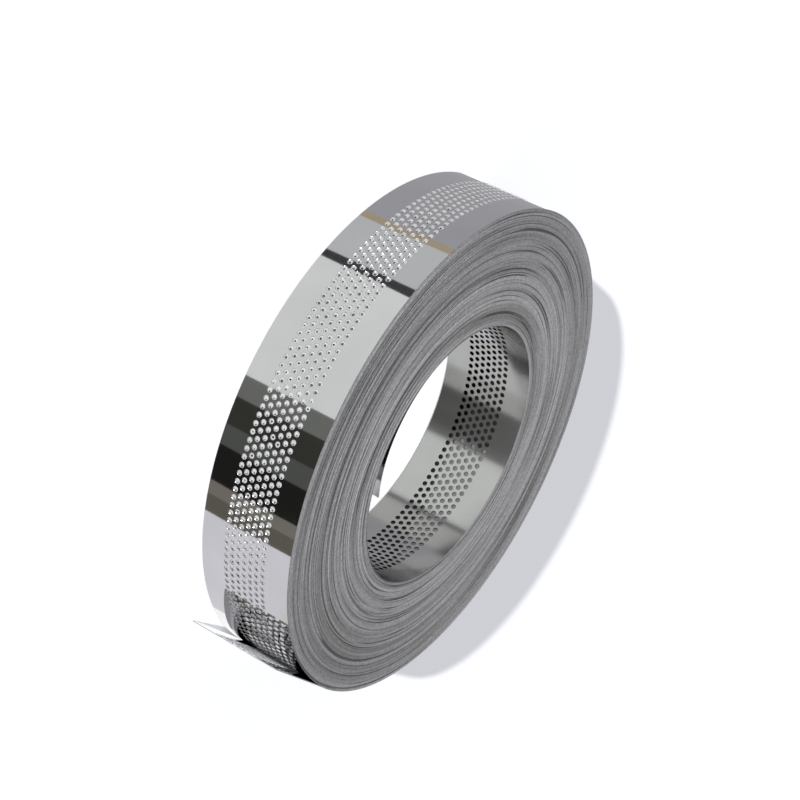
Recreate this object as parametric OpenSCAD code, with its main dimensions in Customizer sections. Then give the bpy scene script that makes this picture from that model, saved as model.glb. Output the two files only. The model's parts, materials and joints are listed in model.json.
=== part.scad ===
// Coil of perforated stainless steel strip: narrow strip with a central band of
// staggered round holes, wound tightly into a flat coil with an open bore.
// The coil's axle lies along Z, and the coil stands on one of its wound ends. The outer
// free end of the strip springs straight off the rim.

/* [Strip] */
// Width of the strip
strip_w = 50; // [35:1:100]
// Thickness of the strip
strip_t = 0.5; // [0.3:0.05:0.8]

/* [Coil] */
// Outside diameter of the coil
coil_d = 260; // [220:5:320]
// Diameter of the bore
bore_d = 138; // [90:1:160]
// Turns that slid sideways together and make one ring on the coil's ends
turns_per_ring = 2; // [2:1:6]
// Furthest that a ring of turns stands out of line sideways
ring_shift = 0.4; // [0.1:0.05:0.8]

/* [Free end] */
// Length of strip that stands straight off the rim
tail_length = 60; // [20:1:90]
// Where the strip leaves the rim, in degrees round from +X
tail_angle = 36; // [12:1:60]

/* [Perforation] */
// Diameter of a hole
hole_d = 2.5; // [1.5:0.1:3.2]
// Distance between neighbouring holes
hole_pitch = 4.1; // [3.6:0.1:4.6]
// Lines of holes along the strip
hole_lines = 7; // [3:2:7]

/* [Hidden] */
$fn = 180;

coil_r = coil_d / 2;
bore_r = bore_d / 2;
// Room past a surface that a cut starts from, so that it opens the surface
cut_past = 1;
// Room that a through hole runs on past the strip's far face
hole_past = 0.1;

ring_count = floor((coil_r - bore_r) / (turns_per_ring * strip_t));
ring_w = (coil_r - bore_r) / ring_count;

// Holes lie in a 60 degree stagger, and whole fours of them go round a surface
line_gap = hole_pitch * sin(60);
function holes_round(r) = 4 * round(2 * PI * r / hole_pitch / 4);

// The strip leaves the rim at the row of holes nearest to tail_angle, and its inner face
// is clear of the turn below once it is tail_root degrees further round
row_turn = 360 / holes_round(coil_r);
tail_turn = row_turn * round(tail_angle / row_turn);
tail_root = acos(1 - strip_t / coil_r) + row_turn;

// Height of ring i: a slow drift of the winding with a jump from ring to ring.
// Two of the rings stand out furthest, one to each end, and the coil stands on the lower one.
upper_rest_ring = ring_count - 4;
lower_rest_ring = round(ring_count / 2);
function ring_z(i) =
    i == upper_rest_ring ? ring_shift
    : i == lower_rest_ring ? -ring_shift
    : 0.9 * ring_shift * (0.45 * sin(31 * i + 80 * sin(9 * i)) + 0.55 * sin(137 * i));

// One end of the wound strip, from the bore outwards; the last ring runs past the rim
function ring_steps(side) = [
    for (i = [0 : ring_count - 1], edge = [0, 1])
        [
            bore_r + (i + edge) * ring_w + (i + edge == ring_count ? cut_past : 0),
            side * strip_w / 2 + ring_z(i)
        ]
];
function reversed(list) = [for (i = [len(list) - 1 : -1 : 0]) list[i]];

// The turns, as one turned solid with stepped ends
module wound_turns() {
    rotate_extrude()
        polygon(concat(ring_steps(1), reversed(ring_steps(-1))));
}

// The rim is flat at each hole, as the strip kinks slightly where the holes weaken it
module rim() {
    flats = holes_round(coil_r);
    corner_r = coil_r / cos(180 / flats);
    linear_extrude(strip_w + 2 * (ring_shift + cut_past), center = true)
        polygon([for (k = [0.5 : flats]) corner_r * [cos(360 / flats * k), sin(360 / flats * k)]]);
}

// A hole on a line across the strip, from radius low_r to high_r
module hole(line, low_r, high_r) {
    translate([low_r, 0, (line - (hole_lines - 1) / 2) * line_gap])
        rotate([0, 90, 0])
            cylinder(h = high_r - low_r, d = hole_d, $fn = 16);
}

// Round pockets in a surface of radius surface_r, from radius low_r to high_r, with none
// between the angles bare_from and bare_to
module hole_pattern(surface_r, low_r, high_r, bare_from = 0, bare_to = 0) {
    count = holes_round(surface_r);
    for (line = [0 : hole_lines - 1], k = [0 : count - 1]) {
        turn = 360 / count * (k + (line % 2) / 2);
        if (turn <= bare_from || turn >= bare_to)
            rotate([0, 0, turn])
                hole(line, low_r, high_r);
    }
}

// The strip's outer free end, without its holes
module free_end() {
    rotate([0, 0, tail_turn])
        translate([coil_r - strip_t, -tail_length, -strip_w / 2])
            cube([strip_t, tail_length, strip_w]);
}

// The holes of the free end, spaced as on the rim; its cut edge runs through the last of them
module free_end_holes() {
    pitch = 2 * PI * coil_r / holes_round(coil_r);
    for (line = [0 : hole_lines - 1], k = [0 : floor(tail_length / pitch - (line % 2) / 2)])
        rotate([0, 0, tail_turn])
            translate([0, -pitch * (k + (line % 2) / 2), 0])
                hole(line, coil_r - strip_t - hole_past, coil_r + cut_past);
}

module strip_coil() {
    color("silver")
        difference() {
            union() {
                difference() {
                    intersection() {
                        wound_turns();
                        rim();
                    }
                    hole_pattern(coil_r, coil_r - strip_t, coil_r + cut_past,
                        tail_turn - tail_root, tail_turn);
                    hole_pattern(bore_r, bore_r - cut_past, bore_r + strip_t);
                }
                free_end();
            }
            free_end_holes();
        }
}

strip_coil();
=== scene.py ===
"""Dresses a packed coil of perforated steel strip: turns, punched holes, free ends, finish."""

import json
import math
import random

import bmesh
import bpy
from bpy.props import FloatProperty, FloatVectorProperty, IntProperty, PointerProperty
from mathutils import Matrix, Vector, noise


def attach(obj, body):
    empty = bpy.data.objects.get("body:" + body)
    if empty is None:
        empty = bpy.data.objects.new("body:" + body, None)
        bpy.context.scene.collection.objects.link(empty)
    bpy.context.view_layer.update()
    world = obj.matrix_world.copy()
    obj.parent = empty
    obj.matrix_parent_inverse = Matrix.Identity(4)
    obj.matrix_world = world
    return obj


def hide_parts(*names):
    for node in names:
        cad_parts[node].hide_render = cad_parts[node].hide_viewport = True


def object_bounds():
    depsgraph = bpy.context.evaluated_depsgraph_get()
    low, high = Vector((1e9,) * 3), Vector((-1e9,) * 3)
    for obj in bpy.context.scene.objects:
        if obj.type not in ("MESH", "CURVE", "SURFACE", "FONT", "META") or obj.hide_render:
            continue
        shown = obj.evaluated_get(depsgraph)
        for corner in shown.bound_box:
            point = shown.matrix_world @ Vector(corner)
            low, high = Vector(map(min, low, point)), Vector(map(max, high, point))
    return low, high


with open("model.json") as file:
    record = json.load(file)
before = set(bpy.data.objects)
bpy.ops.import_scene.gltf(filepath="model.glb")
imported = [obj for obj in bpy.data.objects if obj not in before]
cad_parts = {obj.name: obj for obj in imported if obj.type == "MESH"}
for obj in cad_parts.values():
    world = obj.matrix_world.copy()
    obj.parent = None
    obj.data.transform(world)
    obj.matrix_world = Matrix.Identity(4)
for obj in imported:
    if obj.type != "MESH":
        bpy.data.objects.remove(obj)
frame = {"record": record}
CAD_BOX = [list(corner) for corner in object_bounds()]

bl_info = {
    "name": "Perforated strip coil",
    "version": (1, 0, 0),
    "blender": (4, 5, 0),
    "location": "3D View > Sidebar > Strip coil",
    "description": "Builds a coil of perforated steel strip with its free ends and a pale stage",
    "category": "Add Mesh",
}

NODE = "strip_coil"
MM = 0.001
FULL_TURN = 2 * math.pi


def mount(name):
    """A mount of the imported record."""
    return next(m for m in frame["record"]["mounts"] if m["name"] == name)


BORE = mount("mandrel_bore")["dims"]
RIM_HOLES = mount("holes_front_upper")
END_RISE = CAD_BOX[1][2] - BORE["length_mm"] * MM / 2


class StripSizes(bpy.types.PropertyGroup):
    """Sizes of the strip and of its coil."""

    strip_width: FloatProperty(
        name="Strip width", description="Width of the strip",
        default=BORE["length_mm"] * MM, min=0.01, unit="LENGTH")
    strip_thickness: FloatProperty(
        name="Strip thickness", description="Thickness of the strip",
        default=0.5 * MM, min=0.1 * MM, unit="LENGTH")
    coil_radius: FloatProperty(
        name="Coil radius", description="Outside radius of the coil",
        default=abs(RIM_HOLES["pos_m"][1]), min=0.02, unit="LENGTH")
    bore_radius: FloatProperty(
        name="Bore radius", description="Radius of the open bore",
        default=BORE["r_mm"] * MM, min=0.01, unit="LENGTH")
    end_rise: FloatProperty(
        name="End rise", description="Furthest that a turn stands out of line sideways",
        default=END_RISE, min=0.0, unit="LENGTH")
    hole_radius: FloatProperty(
        name="Hole radius", description="Radius of a punched hole",
        default=RIM_HOLES["dims"]["hole_r_mm"] * MM, min=0.2 * MM, unit="LENGTH")
    hole_pitch: FloatProperty(
        name="Hole pitch", description="Distance between neighbouring holes",
        default=4.1 * MM, min=1.0 * MM, unit="LENGTH")
    hole_lines: IntProperty(
        name="Hole lines", description="Lines of holes along the strip", default=7, min=1)
    lip_width: FloatProperty(
        name="Lip width", description="Width of the rolled-in lip round a hole",
        default=0.15 * MM, min=0.0, unit="LENGTH")
    lip_depth: FloatProperty(
        name="Lip depth", description="Depth of the rolled-in lip round a hole",
        default=0.12 * MM, min=0.0, unit="LENGTH")
    burr_width: FloatProperty(
        name="Burr width", description="Width of the sheared edge round a hole on the bore side",
        default=0.08 * MM, min=0.0, unit="LENGTH")
    burr_height: FloatProperty(
        name="Burr height", description="Height of the burr that the punch left on the far side",
        default=0.28 * MM, min=0.0, unit="LENGTH")
    hollow_radius: FloatProperty(
        name="Hollow radius", description="Radius of the hollow that shows in a hole of the rim",
        default=0.7 * MM, min=0.0, unit="LENGTH")
    aligned_turn: FloatProperty(
        name="Aligned holes place",
        description="Where the holes of the turns round the bore line up",
        default=math.radians(166), subtype="ANGLE")
    aligned_part: FloatProperty(
        name="Aligned holes part", description="How far to each side the holes line up",
        default=math.radians(25), min=0, subtype="ANGLE")
    outer_end_length: FloatProperty(
        name="Outer end length", description="Length of strip that stands straight off the rim",
        default=60 * MM, min=0.0, unit="LENGTH")
    outer_end_turn: FloatProperty(
        name="Outer end place", description="Where the strip leaves the rim",
        default=math.radians(36), subtype="ANGLE")
    inner_end_length: FloatProperty(
        name="Inner end length", description="Length of strip that lifts off the bore's wall",
        default=75 * MM, min=0.0, unit="LENGTH")
    inner_end_turn: FloatProperty(
        name="Inner end place", description="Where the strip leaves the bore's wall",
        default=math.radians(280), subtype="ANGLE")
    inner_end_lift: FloatProperty(
        name="Inner end lift",
        description="Gap between the bore's wall and the strip's inner cut end",
        default=6.4 * MM, min=0.0, unit="LENGTH")
    ring_segments: IntProperty(
        name="Ring segments", description="Segments round each turn on the wound ends",
        default=180, min=12)


class FinishColours(bpy.types.PropertyGroup):
    """Colours of the strip's finishes, among them darker and brighter copies of the punched metal
    that are painted shade and painted highlight.
    """

    steel: FloatVectorProperty(
        name="Rolled face", description="Bright rolled face of the strip",
        default=(0.73, 0.73, 0.74), subtype="COLOR", min=0, max=1)
    slit_edge: FloatVectorProperty(
        name="Slit edge", description="Matt slit edges that make the wound ends",
        default=(0.3, 0.3, 0.305), subtype="COLOR", min=0, max=1)
    punched: FloatVectorProperty(
        name="Punched metal", description="Matt sheared metal in and round the holes",
        default=(0.31, 0.31, 0.31), subtype="COLOR", min=0, max=1)
    # Painted shade: a dark copy of the punched metal on the hollows and far walls of the rim's
    # holes, standing for their shade
    shaded: FloatVectorProperty(
        name="Shaded metal",
        description="Hollow and far wall of a punched hole, where they lie in shade",
        default=(0.05, 0.05, 0.05), subtype="COLOR", min=0, max=1)
    # Painted shade: the turn below is the same steel as the bore, darkened where it shows in the
    # bore's holes
    hole_floor_shade: FloatVectorProperty(
        name="Dull metal", description="Turn behind that shows in the holes of the bore",
        default=(0.09, 0.09, 0.09), subtype="COLOR", min=0, max=1)
    # Painted highlight: a bright copy of the punched metal on the burrs' crests, standing for their
    # glints
    burr: FloatVectorProperty(
        name="Burr", description="Bright crest that the punch left on the far side of a hole",
        default=(0.8, 0.8, 0.8), subtype="COLOR", min=0, max=1)
    floor: FloatVectorProperty(
        name="Floor", description="Plain pale floor",
        default=(0.92, 0.94, 0.99), subtype="COLOR", min=0, max=1)


def sizes():
    """The sizes that the panel shows."""
    return bpy.context.scene.strip_sizes


def colours():
    """The colours that the panel shows."""
    return bpy.context.scene.strip_colours


def line_gap():
    """Distance between lines of holes: the holes lie in a 60 degree stagger."""
    return sizes().hole_pitch * math.sin(math.radians(60))


def holes_round(radius):
    """Whole fours of holes go round a surface."""
    return 4 * round(FULL_TURN * radius / sizes().hole_pitch / 4)


# Materials ------------------------------------------------------------------------------------


class Nodes:
    """Short way to add and join the nodes of one tree."""

    def __init__(self, tree):
        self.tree = tree
        tree.nodes.clear()

    def add(self, kind, **settings):
        node = self.tree.nodes.new(kind)
        for name, value in settings.items():
            setattr(node, name, value)
        return node

    def put(self, value, socket):
        """Joins an output to a socket, or sets the socket to a number or a colour."""
        if isinstance(value, bpy.types.NodeSocket):
            self.tree.links.new(value, socket)
        else:
            socket.default_value = value

    def place(self, kind="Object"):
        """Coordinates of the point that is shaded."""
        return self.add("ShaderNodeTexCoord").outputs[kind]

    def maths(self, operation, first, second=None):
        """A Math node of outputs or numbers."""
        node = self.add("ShaderNodeMath", operation=operation)
        for socket, value in zip(node.inputs, (first, second)):
            if value is not None:
                self.put(value, socket)
        return node.outputs[0]

    def mix(self, factor, first, second, blend="MIX"):
        """A Mix node of two colours, which are its inputs 6 and 7."""
        node = self.add("ShaderNodeMix", data_type="RGBA", blend_type=blend)
        for number, value in ((0, factor), (6, first), (7, second)):
            self.put(value, node.inputs[number])
        return node.outputs[2]

    def ramp(self, factor, stops, interpolation="LINEAR"):
        """A Color Ramp of (position, colour) stops."""
        node = self.add("ShaderNodeValToRGB")
        node.color_ramp.interpolation = interpolation
        elements = node.color_ramp.elements
        while len(elements) > 1:
            elements.remove(elements[0])
        for index, (position, colour) in enumerate(stops):
            element = elements[0] if index == 0 else elements.new(position)
            element.position = position
            element.color = (*colour, 1)
        self.put(factor, node.inputs[0])
        return node.outputs[0]

    def noise(self, place, scale=1, detail=2):
        """Noise over those coordinates."""
        node = self.add("ShaderNodeTexNoise")
        for name, value in (("Vector", place), ("Scale", scale), ("Detail", detail)):
            self.put(value, node.inputs[name])
        return node.outputs[0]

    def bump(self, height, strength, distance):
        """Normals that follow that height."""
        node = self.add("ShaderNodeBump")
        for name, value in (("Height", height), ("Strength", strength), ("Distance", distance)):
            self.put(value, node.inputs[name])
        return node.outputs[0]

    def result(self, shader, kind="ShaderNodeOutputMaterial"):
        """Makes that shader the result of the tree."""
        self.put(shader, self.add(kind).inputs[0])

    def principled(self, inputs):
        """Makes a Principled BSDF with those inputs the result of the tree."""
        shader = self.add("ShaderNodeBsdfPrincipled")
        for name, value in inputs.items():
            self.put(value, shader.inputs[name])
        self.result(shader.outputs[0])


def new_material(name):
    """An empty material and its nodes."""
    material = bpy.data.materials.new(name)
    material.use_nodes = True
    return material, Nodes(material.node_tree)


def grey(tone):
    """A colour without a tint."""
    return (tone, tone, tone)


def from_axle(nodes):
    """Distance from the coil's axle."""
    flat = nodes.add("ShaderNodeVectorMath", operation="MULTIPLY")
    nodes.put(nodes.place(), flat.inputs[0])
    nodes.put((1, 1, 0), flat.inputs[1])
    size = nodes.add("ShaderNodeVectorMath", operation="LENGTH")
    nodes.put(flat.outputs[0], size.inputs[0])
    return size.outputs["Value"]


def round_the_coil(nodes, along, across):
    """Coordinates that run round the axle slowly and across the strip and the turns quickly."""
    parts = nodes.add("ShaderNodeSeparateXYZ")
    nodes.put(nodes.place(), parts.inputs[0])
    radius = from_axle(nodes)
    made = nodes.add("ShaderNodeCombineXYZ")
    for axis in (0, 1):
        part = nodes.maths("DIVIDE", parts.outputs[axis], radius)
        nodes.put(nodes.maths("MULTIPLY", part, along), made.inputs[axis])
    out = nodes.maths("ADD", radius, parts.outputs[2])
    nodes.put(nodes.maths("MULTIPLY", out, across), made.inputs[2])
    return made.outputs[0]


def out_from_bore(nodes):
    """How far a point is from the bore's wall to the rim, from 0 to 1."""
    s = sizes()
    past = nodes.maths("SUBTRACT", from_axle(nodes), s.bore_radius)
    return nodes.maths("DIVIDE", past, s.coil_radius - s.bore_radius)


def strip_steel(name, metallic, smooth, rough, tone=1.0):
    """Bright annealed steel with faint rolling lines and clouds."""
    material, nodes = new_material(name)
    lines = nodes.noise(round_the_coil(nodes, along=3, across=2500), detail=3)
    clouds = nodes.noise(nodes.place(), scale=45, detail=4)
    light = [c * tone for c in colours().steel]
    dark = [c * 0.94 for c in light]
    roughness = nodes.add("ShaderNodeMapRange")
    for socket, value in (("Value", lines), ("To Min", smooth), ("To Max", rough)):
        nodes.put(value, roughness.inputs[socket])
    nodes.principled({
        "Base Color": nodes.ramp(clouds, [(0.3, dark), (0.7, light)]),
        "Metallic": metallic,
        "Roughness": roughness.outputs[0],
        "Normal": nodes.bump(lines, strength=0.015, distance=0.05 * MM),
    })
    return material


def rolled_steel():
    return strip_steel("rolled_steel", metallic=1, smooth=0.02, rough=0.07)


def bore_steel_painted_shade():
    # Rougher than the rim's steel, and darkened to 0.8 of its brightness as painted shade inside
    # the bore
    return strip_steel("bore_steel_painted_shade", metallic=1, smooth=0.1, rough=0.2, tone=0.8)


def lip_steel():
    return strip_steel("lip_steel", metallic=0.93, smooth=0.12, rough=0.25)


def slit_edges():
    """Matt slit edges of the turns, each a little lighter or darker than the next."""
    material, nodes = new_material("slit_edges")
    edge = colours().slit_edge
    dark = [c * tone for c, tone in zip(edge, (0.71, 0.69, 0.66))]
    light = [c * 1.22 for c in edge]
    turns = nodes.noise(round_the_coil(nodes, along=0.6, across=330), detail=3)
    gaps = nodes.noise(round_the_coil(nodes, along=0.9, across=1200))
    specks = nodes.noise(nodes.place(), scale=900)
    grain = nodes.noise(round_the_coil(nodes, along=40, across=4000))
    shade = nodes.ramp(turns, [(0.34, dark), (0.5, edge), (0.7, light)])
    tones = (
        (gaps, ((0.38, 0.32), (0.42, 0.94), (0.7, 1.12))),
        (specks, ((0.3, 0.78), (0.7, 1.15))),
        # Lighter a little way out from the bore, darker towards the rim
        (out_from_bore(nodes), (
            (0, 1.02), (0.1, 1.1), (0.38, 1.1), (0.46, 1), (0.8, 0.93), (1, 1))),
    )
    for factor, stops in tones:
        tone = nodes.ramp(factor, [(position, grey(level)) for position, level in stops])
        shade = nodes.mix(1, shade, tone, "MULTIPLY")
    nodes.principled({
        "Base Color": shade,
        "Roughness": 0.75,
        "Specular IOR Level": 0.15,
        "Normal": nodes.bump(grain, strength=0.25, distance=0.1 * MM),
    })
    return material


def matt_metal(name, roughness, specular, scale, stops):
    """Matt metal in a hole, clouded between the colours of the stops."""
    material, nodes = new_material(name)
    nodes.principled({
        "Base Color": nodes.ramp(nodes.noise(nodes.place(), scale), stops),
        "Roughness": roughness,
        "Specular IOR Level": specular,
    })
    return material


def sheared_metal(name, colour):
    """Matt metal of that colour, where the punch sheared and rolled the edge of a hole; its darker
    and brighter copies are painted shade and painted highlight.
    """
    dark = [c * 0.85 for c in colour]
    light = [min(1, c * 1.1) for c in colour]
    return matt_metal(
        name, roughness=0.65, specular=0.3, scale=700, stops=[(0.3, dark), (0.65, light)])


def punched_metal():
    return sheared_metal("punched_metal", colours().punched)


def painted_shade_metal():
    return sheared_metal("painted_shade_metal", colours().shaded)


def hole_floor_painted_shade():
    return sheared_metal("hole_floor_painted_shade", colours().hole_floor_shade)


def burr_painted_highlight():
    return sheared_metal("burr_painted_highlight", colours().burr)


def painted_shadow_metal():
    """Near-black metal, painted shadow at the bottom of a hole where the turns below show, on the
    walls and edges of the bore's holes, and in the rim's black hollows.
    """
    return matt_metal(
        "painted_shadow_metal", roughness=0.5, specular=0.1, scale=500,
        stops=[(0.3, grey(0.004)), (0.7, grey(0.016))])


MAKERS = {
    "rolled_steel": rolled_steel,
    "bore_steel_painted_shade": bore_steel_painted_shade,
    "lip_steel": lip_steel,
    "slit_edges": slit_edges,
    "punched_metal": punched_metal,
    "painted_shade_metal": painted_shade_metal,
    "hole_floor_painted_shade": hole_floor_painted_shade,
    "burr_painted_highlight": burr_painted_highlight,
    "painted_shadow_metal": painted_shadow_metal,
}


def finish_named(name):
    """The material of that name, made once."""
    return bpy.data.materials.get(name) or MAKERS[name]()


# Meshes ---------------------------------------------------------------------------------------

# Finishes in and round a hole, and the materials that they are on the rim and in the bore
ROLLED, LIP, PUNCHED, PAINTED_SHADOW, BURR_HIGHLIGHT, PAINTED_SHADE = range(6)
# On the rim, the hollows and far walls of the holes are painted shade, the black hollows painted
# shadow, and the burrs' bright crests painted highlight
RIM_FINISHES = (
    "rolled_steel", "lip_steel", "punched_metal", "painted_shadow_metal", "burr_painted_highlight", "painted_shade_metal")
# In the bore, the steel is darkened as painted shade, the edges and walls of the holes are
# near-black painted shade, and the turn below in a hole is dark, painted shade
BORE_FINISHES = ("bore_steel_painted_shade", "painted_shadow_metal", "hole_floor_painted_shade", "painted_shadow_metal")

HOLE_SIDES = 12
HOLLOW_SIDES = 8
MARGIN_ROWS = 3
SHARP_ANGLE = math.radians(32)
WELD = 0.002 * MM        # vertices this close are one
ON_SIDE = 0.01 * MM      # this close to the strip's side, an edge lies on it
ON_CUT = 0.001 * MM      # this close to a cut, an edge lies on it
FAR_SHADE_PART = 0.1           # this far past its centre, in radii, the far side of a hole starts, where its wall is painted shade

# Depths of a dish, as parts of the strip's thickness
DISH_FOOT, HOLLOW_MOUTH, HOLLOW_BOTTOM = 0.75, 0.8, 1.4

# Hollows in the holes of the rim, which are painted shade: from this turn in degrees, their size,
# and their place along and across in millimetres. Each part of the rim has its own, sized and
# placed for the shade that the light there casts in the holes.
SHADE_HOLLOWS = (
    (0, 0.8, 0.62, -0.3), (60, 0.5, 0.45, -0.42), (264, 0.75, 0.5, -0.2), (282, 1, 0.27, -0.1),
    (312, 0.65, 0.74, 0.05), (347, 0.8, 0.62, -0.3))
HOLLOW_SIZES = (0.75, 1.1)        # smallest and largest, for holes that are otherwise alike
HOLLOW_WANDER = 0.08              # millimetres to either side
# Some holes have a black hollow instead, painted shadow; which ones is picked at random
DARK_CHANCE = 0.07
DARK_SIZES = (0.6, 0.85)
DARK_PLACE = (0.12, -0.1)
CHANCE_SEED = 7

# Depth of the turn that shows in a hole of the bore, in thicknesses of the strip
ALIGNED_DEPTH = 2
BEHIND_DEPTH = 1.5

# Points across a slit edge: place in thicknesses of the strip, and drop below it in millimetres
SLIT_PROFILE = ((0.02, 0.03), (0.18, 0), (0.9, 0))
# How much of its sideways place a turn keeps, apart from the turns that the coil stands on
SLID_PART = 0.2
# This close to the rim or the bore's wall, in thicknesses of the strip, a vertex lies on it
WALL_PART = 0.2
# The turns wander inwards: over this distance from turn to turn, by this part of the end rise
WANDER_LENGTH = 1.1 * MM
WANDER_PART = 0.15


def verts_of(geometry):
    """The vertices among these parts of a mesh."""
    return [item for item in geometry if isinstance(item, bmesh.types.BMVert)]


def cell_outline(bm, pitch, gap, height):
    """The outer edges of one hole's cell, with the points that its staggered neighbours share.

    It is a small grid that loses the points within it.
    """
    grid = bmesh.ops.create_grid(
        bm, x_segments=4, y_segments=2, size=0.5,
        matrix=Matrix.Translation((0, 0, height)) @ Matrix.Diagonal((pitch, gap, 1, 1)))["verts"]
    inside = [v for v in grid if abs(v.co.x) < 0.4 * pitch and abs(v.co.y) < 0.4 * gap]
    outline = [v for v in grid if v not in inside]
    bmesh.ops.delete(bm, geom=inside, context="VERTS")
    return list({edge for vert in outline for edge in vert.link_edges})


def ring(bm, radius, height, sides=HOLE_SIDES):
    """The edges of a round ring."""
    made = bmesh.ops.create_circle(
        bm, segments=sides, radius=radius, matrix=Matrix.Translation((0, 0, height)))
    return list({edge for vert in made["verts"] for edge in vert.link_edges})


def bridge(bm, first, second, finish, shade_finish=None):
    """Faces between two rings; those on the far side along the strip may get painted shade instead.
    """
    shade_start = FAR_SHADE_PART * sizes().hole_radius
    for face in bmesh.ops.bridge_loops(bm, edges=first + second)["faces"]:
        far = shade_finish is not None and face.calc_center_median().x > shade_start
        face.material_index = shade_finish if far else finish


def cap(bm, edges, finish):
    """A face that closes a ring."""
    for face in bmesh.ops.contextual_create(bm, geom=edges)["faces"]:
        face.material_index = finish


def right_through(bm, edge, pitch):
    """The hole goes right through the strip, and the punch left a burr on the far side. Its crest
    is bright metal, a painted highlight.
    """
    s = sizes()
    crest = ring(bm, s.hole_radius, -s.strip_thickness - s.burr_height)
    bridge(bm, edge, crest, PUNCHED)
    foot = ring(bm, s.hole_radius + s.lip_width, -s.strip_thickness)
    bridge(bm, crest, foot, BURR_HIGHLIGHT)
    under = cell_outline(bm, pitch, line_gap(), -s.strip_thickness)
    bridge(bm, foot, under, ROLLED)


def turn_below(depth, finish):
    """The hole shows the face of the turn below it, this deep, in that finish; its wall is
    near-black, painted shade.
    """

    def made(bm, edge, pitch):
        foot = ring(bm, sizes().hole_radius, -depth)
        bridge(bm, edge, foot, PAINTED_SHADOW)
        cap(bm, foot, finish)

    return made


def dish(radius, along, across, finish):
    """The hole is a dish with a hollow of that finish, so many millimetres along and across."""

    def made(bm, edge, pitch):
        thick = sizes().strip_thickness
        foot = ring(bm, sizes().hole_radius, -DISH_FOOT * thick)
        # The far side of the wall is painted shade, and the hollow is painted shade or shadow in
        # the finish given
        bridge(bm, edge, foot, PUNCHED, PAINTED_SHADE)
        mouth, bottom = ring(bm, radius, 0, HOLLOW_SIDES), ring(bm, radius, 0, HOLLOW_SIDES)
        for edges, depth in ((mouth, HOLLOW_MOUTH * thick), (bottom, HOLLOW_BOTTOM * thick)):
            moved = list({vert for part in edges for vert in part.verts})
            bmesh.ops.translate(bm, vec=(along * MM, across * MM, -depth), verts=moved)
        bridge(bm, foot, mouth, PUNCHED)
        bridge(bm, mouth, bottom, finish)
        cap(bm, bottom, finish)

    return made


def hole_cell(pitch, lip_width, ending):
    """One cell of the perforation, flat, with its punched face up at height 0."""
    s = sizes()
    bm = bmesh.new()
    outline = cell_outline(bm, pitch, line_gap(), 0)
    lip = ring(bm, s.hole_radius + lip_width, 0)
    bridge(bm, outline, lip, ROLLED)
    edge = ring(bm, s.hole_radius, -s.lip_depth)
    bridge(bm, lip, edge, LIP)
    ending(bm, edge, pitch)
    bmesh.ops.recalc_face_normals(bm, faces=bm.faces)
    return bm


def repeat(bm, count, step):
    """Repeats all of the mesh in a row, step apart."""
    whole = bm.verts[:] + bm.edges[:] + bm.faces[:]
    for index in range(1, count):
        copy = bmesh.ops.duplicate(bm, geom=whole)["geom"]
        bmesh.ops.translate(bm, vec=Vector(step) * index, verts=verts_of(copy))


def add_margins(bm, pitch, columns, height):
    """The plain margins beside the band of holes."""
    s = sizes()
    band = s.hole_lines * line_gap() / 2
    margin = s.strip_width / 2 - band
    for side in (-1, 1):
        middle = Vector(((columns - 0.5) * pitch / 2, side * (band + margin / 2), height))
        bmesh.ops.create_grid(
            bm, x_segments=4 * columns + 2, y_segments=MARGIN_ROWS, size=0.5,
            matrix=Matrix.Translation(middle)
            @ Matrix.Diagonal(((columns + 0.5) * pitch, margin, 1, 1)))


def line_place(line):
    """Place across the strip of a line of holes."""
    return (line - (sizes().hole_lines - 1) / 2) * line_gap()


def add_cell(bm, cell, along, across):
    """Moves a cell to that place and adds it to the mesh."""
    bmesh.ops.translate(cell, vec=(along, across, 0), verts=cell.verts)
    made = bpy.data.meshes.new("cell")
    cell.to_mesh(made)
    bm.from_mesh(made)
    bpy.data.meshes.remove(made)


def flat_strip(pitch, columns, lip_width, endings=None, block=1):
    """Perforated strip laid flat: x runs along it from the first hole, y across, z out of its face.

    The holes of one block of columns end in different ways, and the blocks are alike.
    """
    s = sizes()
    bm = bmesh.new()
    for line in range(s.hole_lines):
        for column in range(block):
            cell = hole_cell(pitch, lip_width, endings(column) if endings else right_through)
            add_cell(bm, cell, (column + line % 2 / 2) * pitch, line_place(line))
            cell.free()
    repeat(bm, columns // block, (block * pitch, 0, 0))
    add_margins(bm, pitch, columns, 0)
    if not endings:
        faces_before = set(bm.faces)
        add_margins(bm, pitch, columns, -s.strip_thickness)
        bmesh.ops.reverse_faces(bm, faces=[f for f in bm.faces if f not in faces_before])
    bmesh.ops.remove_doubles(bm, verts=bm.verts, dist=WELD)
    return bm


def finished(name, bm, finishes):
    """A mesh object of the coil, shaded smooth apart from its sharp edges."""
    for face in bm.faces:
        face.smooth = True
    for edge in bm.edges:
        sides = edge.link_faces
        edge.smooth = (
            len(sides) == 2 and sides[0].material_index == sides[1].material_index
            and edge.calc_face_angle() < SHARP_ANGLE)
    mesh = bpy.data.meshes.new(name)
    bm.to_mesh(mesh)
    bm.free()
    for finish in finishes:
        mesh.materials.append(finish_named(finish))
    piece = bpy.data.objects.new(name, mesh)
    bpy.context.scene.collection.objects.link(piece)
    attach(piece, "root")
    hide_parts(NODE)
    return piece


def polar(radius, turn, height):
    """A place round the coil."""
    return Vector((radius * math.cos(turn), radius * math.sin(turn), height))


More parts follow.
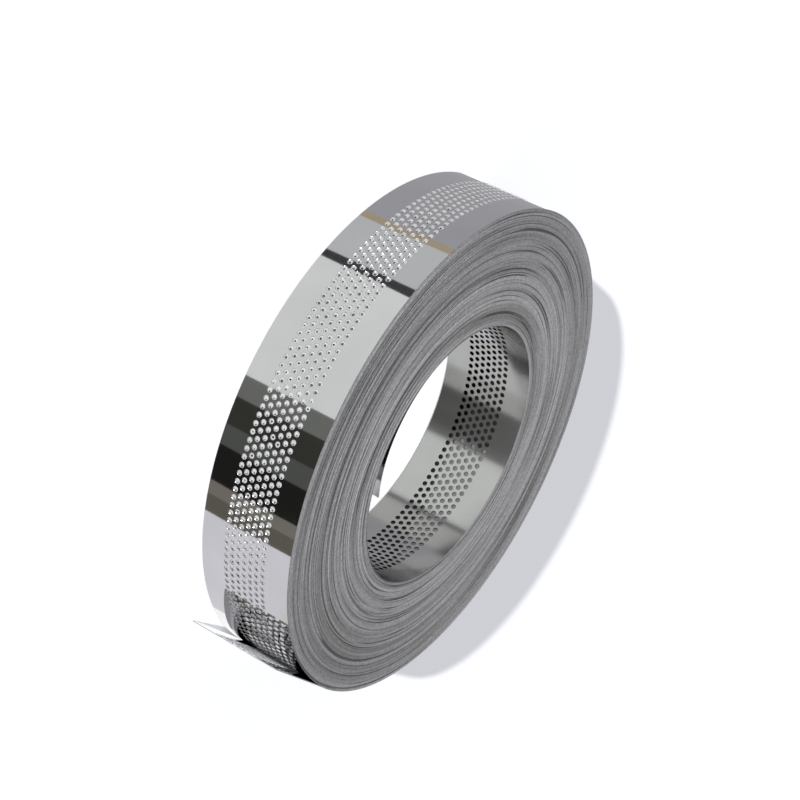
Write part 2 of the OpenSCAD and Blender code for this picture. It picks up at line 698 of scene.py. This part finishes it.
class COIL_OT_outer_turn(bpy.types.Operator):
    """Builds the outermost turn, with its holes"""

    bl_idname = "coil.outer_turn"
    bl_label = "Outer turn"

    def execute(self, context):
        s = sizes()
        count = holes_round(s.coil_radius)
        pitch = FULL_TURN * s.coil_radius / count
        chance = random.Random(CHANCE_SEED)

        def endings(column):
            turn = math.degrees(s.outer_end_turn + FULL_TURN * column / count) % 360
            size, along, across = [hollow for start, *hollow in SHADE_HOLLOWS if turn >= start][-1]
            # Each hole gets a hollow of painted shade, and a few get a black one, painted shadow
            if chance.random() < DARK_CHANCE:
                return dish(s.hollow_radius * chance.uniform(*DARK_SIZES), *DARK_PLACE, PAINTED_SHADOW)
            radius = s.hollow_radius * size * chance.uniform(*HOLLOW_SIZES)
            aside = chance.uniform(-HOLLOW_WANDER, HOLLOW_WANDER)
            return dish(radius, along + aside, across - aside, PAINTED_SHADE)

        bm = flat_strip(pitch, count, s.lip_width, endings, block=count)
        for vert in bm.verts:
            along, across, up = vert.co
            turned = along / s.coil_radius
            radius = s.coil_radius - s.strip_thickness * max(0, turned / FULL_TURN) + up
            vert.co = polar(radius, s.outer_end_turn + turned, across)
        finished("outer_turn", bm, RIM_FINISHES)
        return {"FINISHED"}


class COIL_OT_bore_turn(bpy.types.Operator):
    """Builds the innermost turn, with its holes"""

    bl_idname = "coil.bore_turn"
    bl_label = "Bore turn"

    def execute(self, context):
        s = sizes()
        count = holes_round(s.bore_radius)
        pitch = FULL_TURN * s.bore_radius / count

        def endings(column):
            turn = s.inner_end_turn - FULL_TURN * column / count
            if abs(turn - s.aligned_turn) < s.aligned_part:
                # Where the holes line up, the turn below is deeper and black, painted shadow;
                # elsewhere it is dark, painted shade
                return turn_below(ALIGNED_DEPTH * s.strip_thickness, PAINTED_SHADOW)
            return turn_below(BEHIND_DEPTH * s.strip_thickness, PUNCHED)

        bm = flat_strip(pitch, count, s.burr_width, endings, block=count)
        for vert in bm.verts:
            along, across, up = vert.co
            turned = along / s.bore_radius
            radius = s.bore_radius + s.strip_thickness * max(0, turned / FULL_TURN) - up
            vert.co = polar(radius, s.inner_end_turn - turned, across)
        finished("bore_turn", bm, BORE_FINISHES)
        return {"FINISHED"}


def free_strip(length, pitch):
    """Strip with through holes, cut square at both ends; x runs from 0 to length."""
    s = sizes()
    columns = math.ceil(length / pitch) + 2
    bm = flat_strip(pitch, columns, s.lip_width)
    bmesh.ops.translate(bm, vec=(-pitch, 0, 0), verts=bm.verts)
    for side in (-1, 1):
        edges = [e for e in bm.edges if e.is_boundary
                 and all(abs(v.co.y - side * s.strip_width / 2) < ON_SIDE for v in e.verts)]
        bridge(bm, edges, [], ROLLED)
    for place, outwards in ((0, -1), (length, 1)):
        bmesh.ops.bisect_plane(
            bm, geom=bm.verts[:] + bm.edges[:] + bm.faces[:], dist=WELD,
            plane_co=(place, 0, 0), plane_no=(outwards, 0, 0), clear_outer=True)
        cut = [e for e in bm.edges if e.is_boundary
               and all(abs(v.co.x - place) < ON_CUT for v in e.verts)]
        bmesh.ops.holes_fill(bm, edges=cut, sides=0)
    bmesh.ops.recalc_face_normals(bm, faces=bm.faces)
    return bm


class COIL_OT_outer_end(bpy.types.Operator):
    """Builds the strip's outer free end, which stands straight off the rim"""

    bl_idname = "coil.outer_end"
    bl_label = "Outer free end"

    def execute(self, context):
        s = sizes()
        pitch = FULL_TURN * s.coil_radius / holes_round(s.coil_radius)
        bm = free_strip(s.outer_end_length, pitch)
        start = polar(s.coil_radius, s.outer_end_turn, 0)
        ahead = polar(1, s.outer_end_turn - math.pi / 2, 0)
        out = polar(1, s.outer_end_turn, 0)
        for vert in bm.verts:
            along, across, up = vert.co
            vert.co = start + ahead * along + out * up + Vector((0, 0, -across))
        finished("outer_free_end", bm, RIM_FINISHES)
        return {"FINISHED"}


class COIL_OT_inner_end(bpy.types.Operator):
    """Builds the strip's inner free end, which lifts off the bore's wall"""

    bl_idname = "coil.inner_end"
    bl_label = "Inner free end"

    def execute(self, context):
        s = sizes()
        pitch = FULL_TURN * s.bore_radius / holes_round(s.bore_radius)
        bm = free_strip(s.inner_end_length, pitch)
        for vert in bm.verts:
            along, across, up = vert.co
            lift = s.inner_end_lift * (along / s.inner_end_length) ** 2
            radius = s.bore_radius - lift - up
            vert.co = polar(radius, s.inner_end_turn + along / s.bore_radius, -across)
        finished("inner_free_end", bm, RIM_FINISHES)
        return {"FINISHED"}


def ring_height(ring_index, ring_count, rise):
    """Sideways place of a ring of turns, by the rule of the CAD's rings: a drift and a jump.

    Two rings stand out furthest, one to each end.
    """
    if ring_index == ring_count - 4:
        return rise
    if ring_index == round(ring_count / 2):
        return -rise
    drift = math.sin(math.radians(31 * ring_index + 80 * math.sin(math.radians(9 * ring_index))))
    jump = math.sin(math.radians(137 * ring_index))
    return 0.9 * rise * (0.45 * drift + 0.55 * jump)


class COIL_OT_wound_ends(bpy.types.Operator):
    """Builds the two wound ends, with the slit edge of every turn"""

    bl_idname = "coil.wound_ends"
    bl_label = "Wound ends"

    def execute(self, context):
        s = sizes()
        thick = s.strip_thickness
        first, last = s.bore_radius + thick, s.coil_radius - thick
        turns = round((last - first) / thick)
        for name, side in (("upper_wound_end", 1), ("lower_wound_end", -1)):
            bm = bmesh.new()
            profile = [bm.verts.new((s.bore_radius, 0, side * s.strip_width / 2))]
            for turn in range(turns):
                inner = first + turn * (last - first) / turns
                height = ring_height((turn + 1) // 2, (turns + 2) // 2, s.end_rise)
                stands_on_it = side < 0 and height < -0.99 * s.end_rise
                height *= 1 if stands_on_it else SLID_PART
                level = side * s.strip_width / 2 + height
                for place, drop in SLIT_PROFILE:
                    point = (inner + place * thick, 0, level - side * drop * MM)
                    profile.append(bm.verts.new(point))
            profile.append(bm.verts.new((s.coil_radius, 0, side * s.strip_width / 2)))
            edges = [bm.edges.new(pair) for pair in zip(profile, profile[1:])]
            bmesh.ops.spin(
                bm, geom=profile + edges, cent=(0, 0, 0), axis=(0, 0, 1), dvec=(0, 0, 0),
                angle=FULL_TURN, steps=s.ring_segments, use_merge=True, use_duplicate=False)
            self.settle(bm, side)
            bmesh.ops.recalc_face_normals(bm, faces=bm.faces)
            up = sum(f.normal.z * f.calc_area() for f in bm.faces)
            if up * side < 0:
                bmesh.ops.reverse_faces(bm, faces=bm.faces)
            finished(name, bm, ("slit_edges",))
        return {"FINISHED"}

    def settle(self, bm, side):
        """Lets the turns wander a little, and meets the spiral of the outer and bore turns."""
        s = sizes()
        near = WALL_PART * s.strip_thickness
        for vert in bm.verts:
            radius = math.hypot(vert.co.x, vert.co.y)
            turn = math.atan2(vert.co.y, vert.co.x)
            if radius > s.coil_radius - near:
                part = ((turn - s.outer_end_turn) % FULL_TURN) / FULL_TURN
                vert.co = polar(s.coil_radius - part * s.strip_thickness, turn, vert.co.z)
            elif radius < s.bore_radius + near:
                part = ((s.inner_end_turn - turn) % FULL_TURN) / FULL_TURN
                vert.co = polar(s.bore_radius + part * s.strip_thickness, turn, vert.co.z)
            else:
                place = Vector((math.cos(turn), math.sin(turn), radius / WANDER_LENGTH))
                wander = noise.noise(place)
                vert.co.z += WANDER_PART * s.end_rise * min(0, wander * side) * side


# Stage ----------------------------------------------------------------------------------------

CAMERA_PLACE = Vector((0.5758, -0.6751, 0.4159))
CAMERA_AZIMUTH = math.radians(41.306)
CAMERA_ELEVATION = math.radians(25.839)
CAMERA_ROLL = math.radians(116.38)
CAMERA_LENS = 88.317
SUN_PLACE = Vector((0.81, -0.95, 0.3))
SUN_STRENGTH = 5.6
SUN_SPREAD = math.radians(1)
FLOOR_RADIUS = 8
FLOOR_GLOW = 0.29        # brings the lit floor to white where the camera sees it
BORE_PAINTED_LIGHT = 0.45         # painted light: the floor within the bore glows brighter, to white, and paints out the shadow that would lie there
WHITE = (1, 1, 1, 1)
SOFT_LIGHT = (0.36, 0.36, 0.38, 1)

# Panels round the studio that the bright steel mirrors: from this azimuth in degrees, this colour.
# The rim mirrors the lower ones, the bore mirrors the upper ones, and above them it is plain.
LOWER_PANELS = (
    (0, (0.015, 0.015, 0.014)), (7.6, (0.2, 0.19, 0.16)), (15, (0.13, 0.12, 0.1)),
    (22.8, (0.76, 0.76, 0.8)), (85, (1.15, 1.15, 1.15)), (150, (0.4, 0.4, 0.42)),
    (224.9, (0.45, 0.37, 0.26)), (228.5, (0.58, 0.59, 0.59)), (252.4, (0.055, 0.055, 0.06)),
    (257.3, (0.78, 0.8, 0.78)), (318.1, (0.17, 0.175, 0.165)), (328.6, (0.04, 0.04, 0.035)),
    (340.5, (0.09, 0.095, 0.085)), (350.4, (0.015, 0.015, 0.014)),
)
UPPER_PANELS = (
    (0, (0.15, 0.15, 0.14)), (3, (0.56, 0.57, 0.54)), (24, (0.7, 0.71, 0.68)),
    (70, (0.76, 0.76, 0.8)), (85, (1.15, 1.15, 1.15)), (150, (0.4, 0.4, 0.42)),
    (226.7, (0.55, 0.56, 0.53)), (252.4, (0.07, 0.07, 0.07)), (257.3, (0.8, 0.82, 0.78)),
    (320, (0.17, 0.175, 0.165)), (330, (0.15, 0.155, 0.145)),
)
ABOVE_PANELS = (0.5, 0.5, 0.54, 1)
# Heights of a mirrored ray's direction at which the upper panels start and end
PANEL_STEP = -0.437
PANEL_TOP = 0.1
# Slight waves in the edges of the panels
WAVE_SCALE = 14
WAVE_SIZE = 0.05


def add_camera():
    """A camera that looks at the wound end and the rim, rolled to one side."""
    data = bpy.data.cameras.new("camera")
    data.lens = CAMERA_LENS
    data.clip_start = 0.01
    camera = bpy.data.objects.new("camera", data)
    bpy.context.scene.collection.objects.link(camera)
    back = Vector((
        math.sin(CAMERA_AZIMUTH) * math.cos(CAMERA_ELEVATION),
        -math.cos(CAMERA_AZIMUTH) * math.cos(CAMERA_ELEVATION),
        math.sin(CAMERA_ELEVATION)))
    upright = (-back).to_track_quat("-Z", "Y").to_matrix().to_4x4()
    camera.matrix_world = (
        Matrix.Translation(CAMERA_PLACE) @ upright
        @ Matrix.Rotation(CAMERA_ROLL, 4, "Z"))
    bpy.context.scene.camera = camera


def add_sun():
    """A low sun to one side, so that the coil's shadow shows on the floor."""
    data = bpy.data.lights.new("sun", "SUN")
    data.energy = SUN_STRENGTH
    data.angle = SUN_SPREAD
    sun = bpy.data.objects.new("sun", data)
    sun.rotation_euler = SUN_PLACE.to_track_quat("Z", "Y").to_euler()
    bpy.context.scene.collection.objects.link(sun)


def mirrored_studio(nodes):
    """Light and dark panels round the horizon, by azimuth."""
    place = nodes.place("Generated")
    parts = nodes.add("ShaderNodeSeparateXYZ")
    nodes.put(place, parts.inputs[0])
    azimuth = nodes.maths("ARCTAN2", parts.outputs[1], parts.outputs[0])
    wave = nodes.maths("SUBTRACT", nodes.noise(place, WAVE_SCALE), 0.5)
    azimuth = nodes.maths("ADD", azimuth, nodes.maths("MULTIPLY", wave, WAVE_SIZE))
    turned = nodes.maths("FRACT", nodes.maths("DIVIDE", azimuth, FULL_TURN))
    lower, upper = (
        nodes.ramp(turned, [(degrees / 360, colour) for degrees, colour in panels], "CONSTANT")
        for panels in (LOWER_PANELS, UPPER_PANELS))
    height = parts.outputs[2]
    panels = nodes.mix(nodes.maths("GREATER_THAN", height, PANEL_STEP), lower, upper)
    return nodes.mix(nodes.maths("GREATER_THAN", height, PANEL_TOP), panels, ABOVE_PANELS)


def add_world():
    """White to the camera, panels to the bright steel, and a soft even light to all else."""
    world = bpy.data.worlds.new("studio")
    world.use_nodes = True
    bpy.context.scene.world = world
    nodes = Nodes(world.node_tree)
    rays = nodes.add("ShaderNodeLightPath")
    lit = nodes.mix(rays.outputs["Is Glossy Ray"], SOFT_LIGHT, mirrored_studio(nodes))
    background = nodes.add("ShaderNodeBackground")
    nodes.put(nodes.mix(rays.outputs["Is Camera Ray"], lit, WHITE), background.inputs[0])
    nodes.result(background.outputs[0], "ShaderNodeOutputWorld")


def floor_material():
    """Pale floor that reads as white where it is lit and still takes the coil's shadow; within the
    bore it glows as painted light, so no shadow shows there.
    """
    material, nodes = new_material("pale_floor")
    matt = nodes.add("ShaderNodeBsdfDiffuse")
    nodes.put((*colours().floor, 1), matt.inputs[0])
    bore_light_pool = nodes.maths("LESS_THAN", from_axle(nodes), sizes().bore_radius)
    bright = nodes.maths("ADD", nodes.maths("MULTIPLY", bore_light_pool, BORE_PAINTED_LIGHT), FLOOR_GLOW)
    rays = nodes.add("ShaderNodeLightPath")
    glow = nodes.add("ShaderNodeEmission")
    nodes.put(nodes.maths("MULTIPLY", rays.outputs["Is Camera Ray"], bright), glow.inputs[1])
    both = nodes.add("ShaderNodeAddShader")
    for number, shader in enumerate((matt, glow)):
        nodes.put(shader.outputs[0], both.inputs[number])
    nodes.result(both.outputs[0])
    return material


class COIL_OT_stage(bpy.types.Operator):
    """Sets up the pale floor, the light, the world and the camera"""

    bl_idname = "coil.stage"
    bl_label = "Stage"

    def execute(self, context):
        bm = bmesh.new()
        bmesh.ops.create_circle(
            bm, cap_ends=True, segments=64, radius=FLOOR_RADIUS,
            matrix=Matrix.Translation((0, 0, CAD_BOX[0][2])))
        mesh = bpy.data.meshes.new("floor")
        bm.to_mesh(mesh)
        bm.free()
        mesh.materials.append(floor_material())
        floor = bpy.data.objects.new("floor", mesh)
        context.scene.collection.objects.link(floor)
        floor.visible_glossy = False
        add_sun()
        add_world()
        add_camera()
        context.scene.view_settings.view_transform = "Standard"
        return {"FINISHED"}


class COIL_PT_panel(bpy.types.Panel):
    """Lists the coil's pieces, sizes and colours"""

    bl_idname = "COIL_PT_panel"
    bl_label = "Strip coil"
    bl_space_type = "VIEW_3D"
    bl_region_type = "UI"
    bl_category = "Strip coil"

    def draw(self, context):
        for group in (context.scene.strip_sizes, context.scene.strip_colours):
            column = self.layout.column()
            for name in group.__annotations__:
                column.prop(group, name)
        for operator in OPERATORS:
            self.layout.operator(operator.bl_idname)


GROUPS = (StripSizes, FinishColours)
OPERATORS = (
    COIL_OT_outer_turn, COIL_OT_bore_turn, COIL_OT_wound_ends, COIL_OT_outer_end,
    COIL_OT_inner_end, COIL_OT_stage,
)


def register():
    for item in (*GROUPS, *OPERATORS, COIL_PT_panel):
        bpy.utils.register_class(item)
    bpy.types.Scene.strip_sizes = PointerProperty(type=StripSizes)
    bpy.types.Scene.strip_colours = PointerProperty(type=FinishColours)


def unregister():
    del bpy.types.Scene.strip_colours
    del bpy.types.Scene.strip_sizes
    for item in reversed((*GROUPS, *OPERATORS, COIL_PT_panel)):
        bpy.utils.unregister_class(item)


def main():
    register()
    bpy.ops.coil.outer_turn()
    bpy.ops.coil.bore_turn()
    bpy.ops.coil.wound_ends()
    bpy.ops.coil.outer_end()
    bpy.ops.coil.inner_end()
    bpy.ops.coil.stage()


if __name__ == "__main__":
    main()
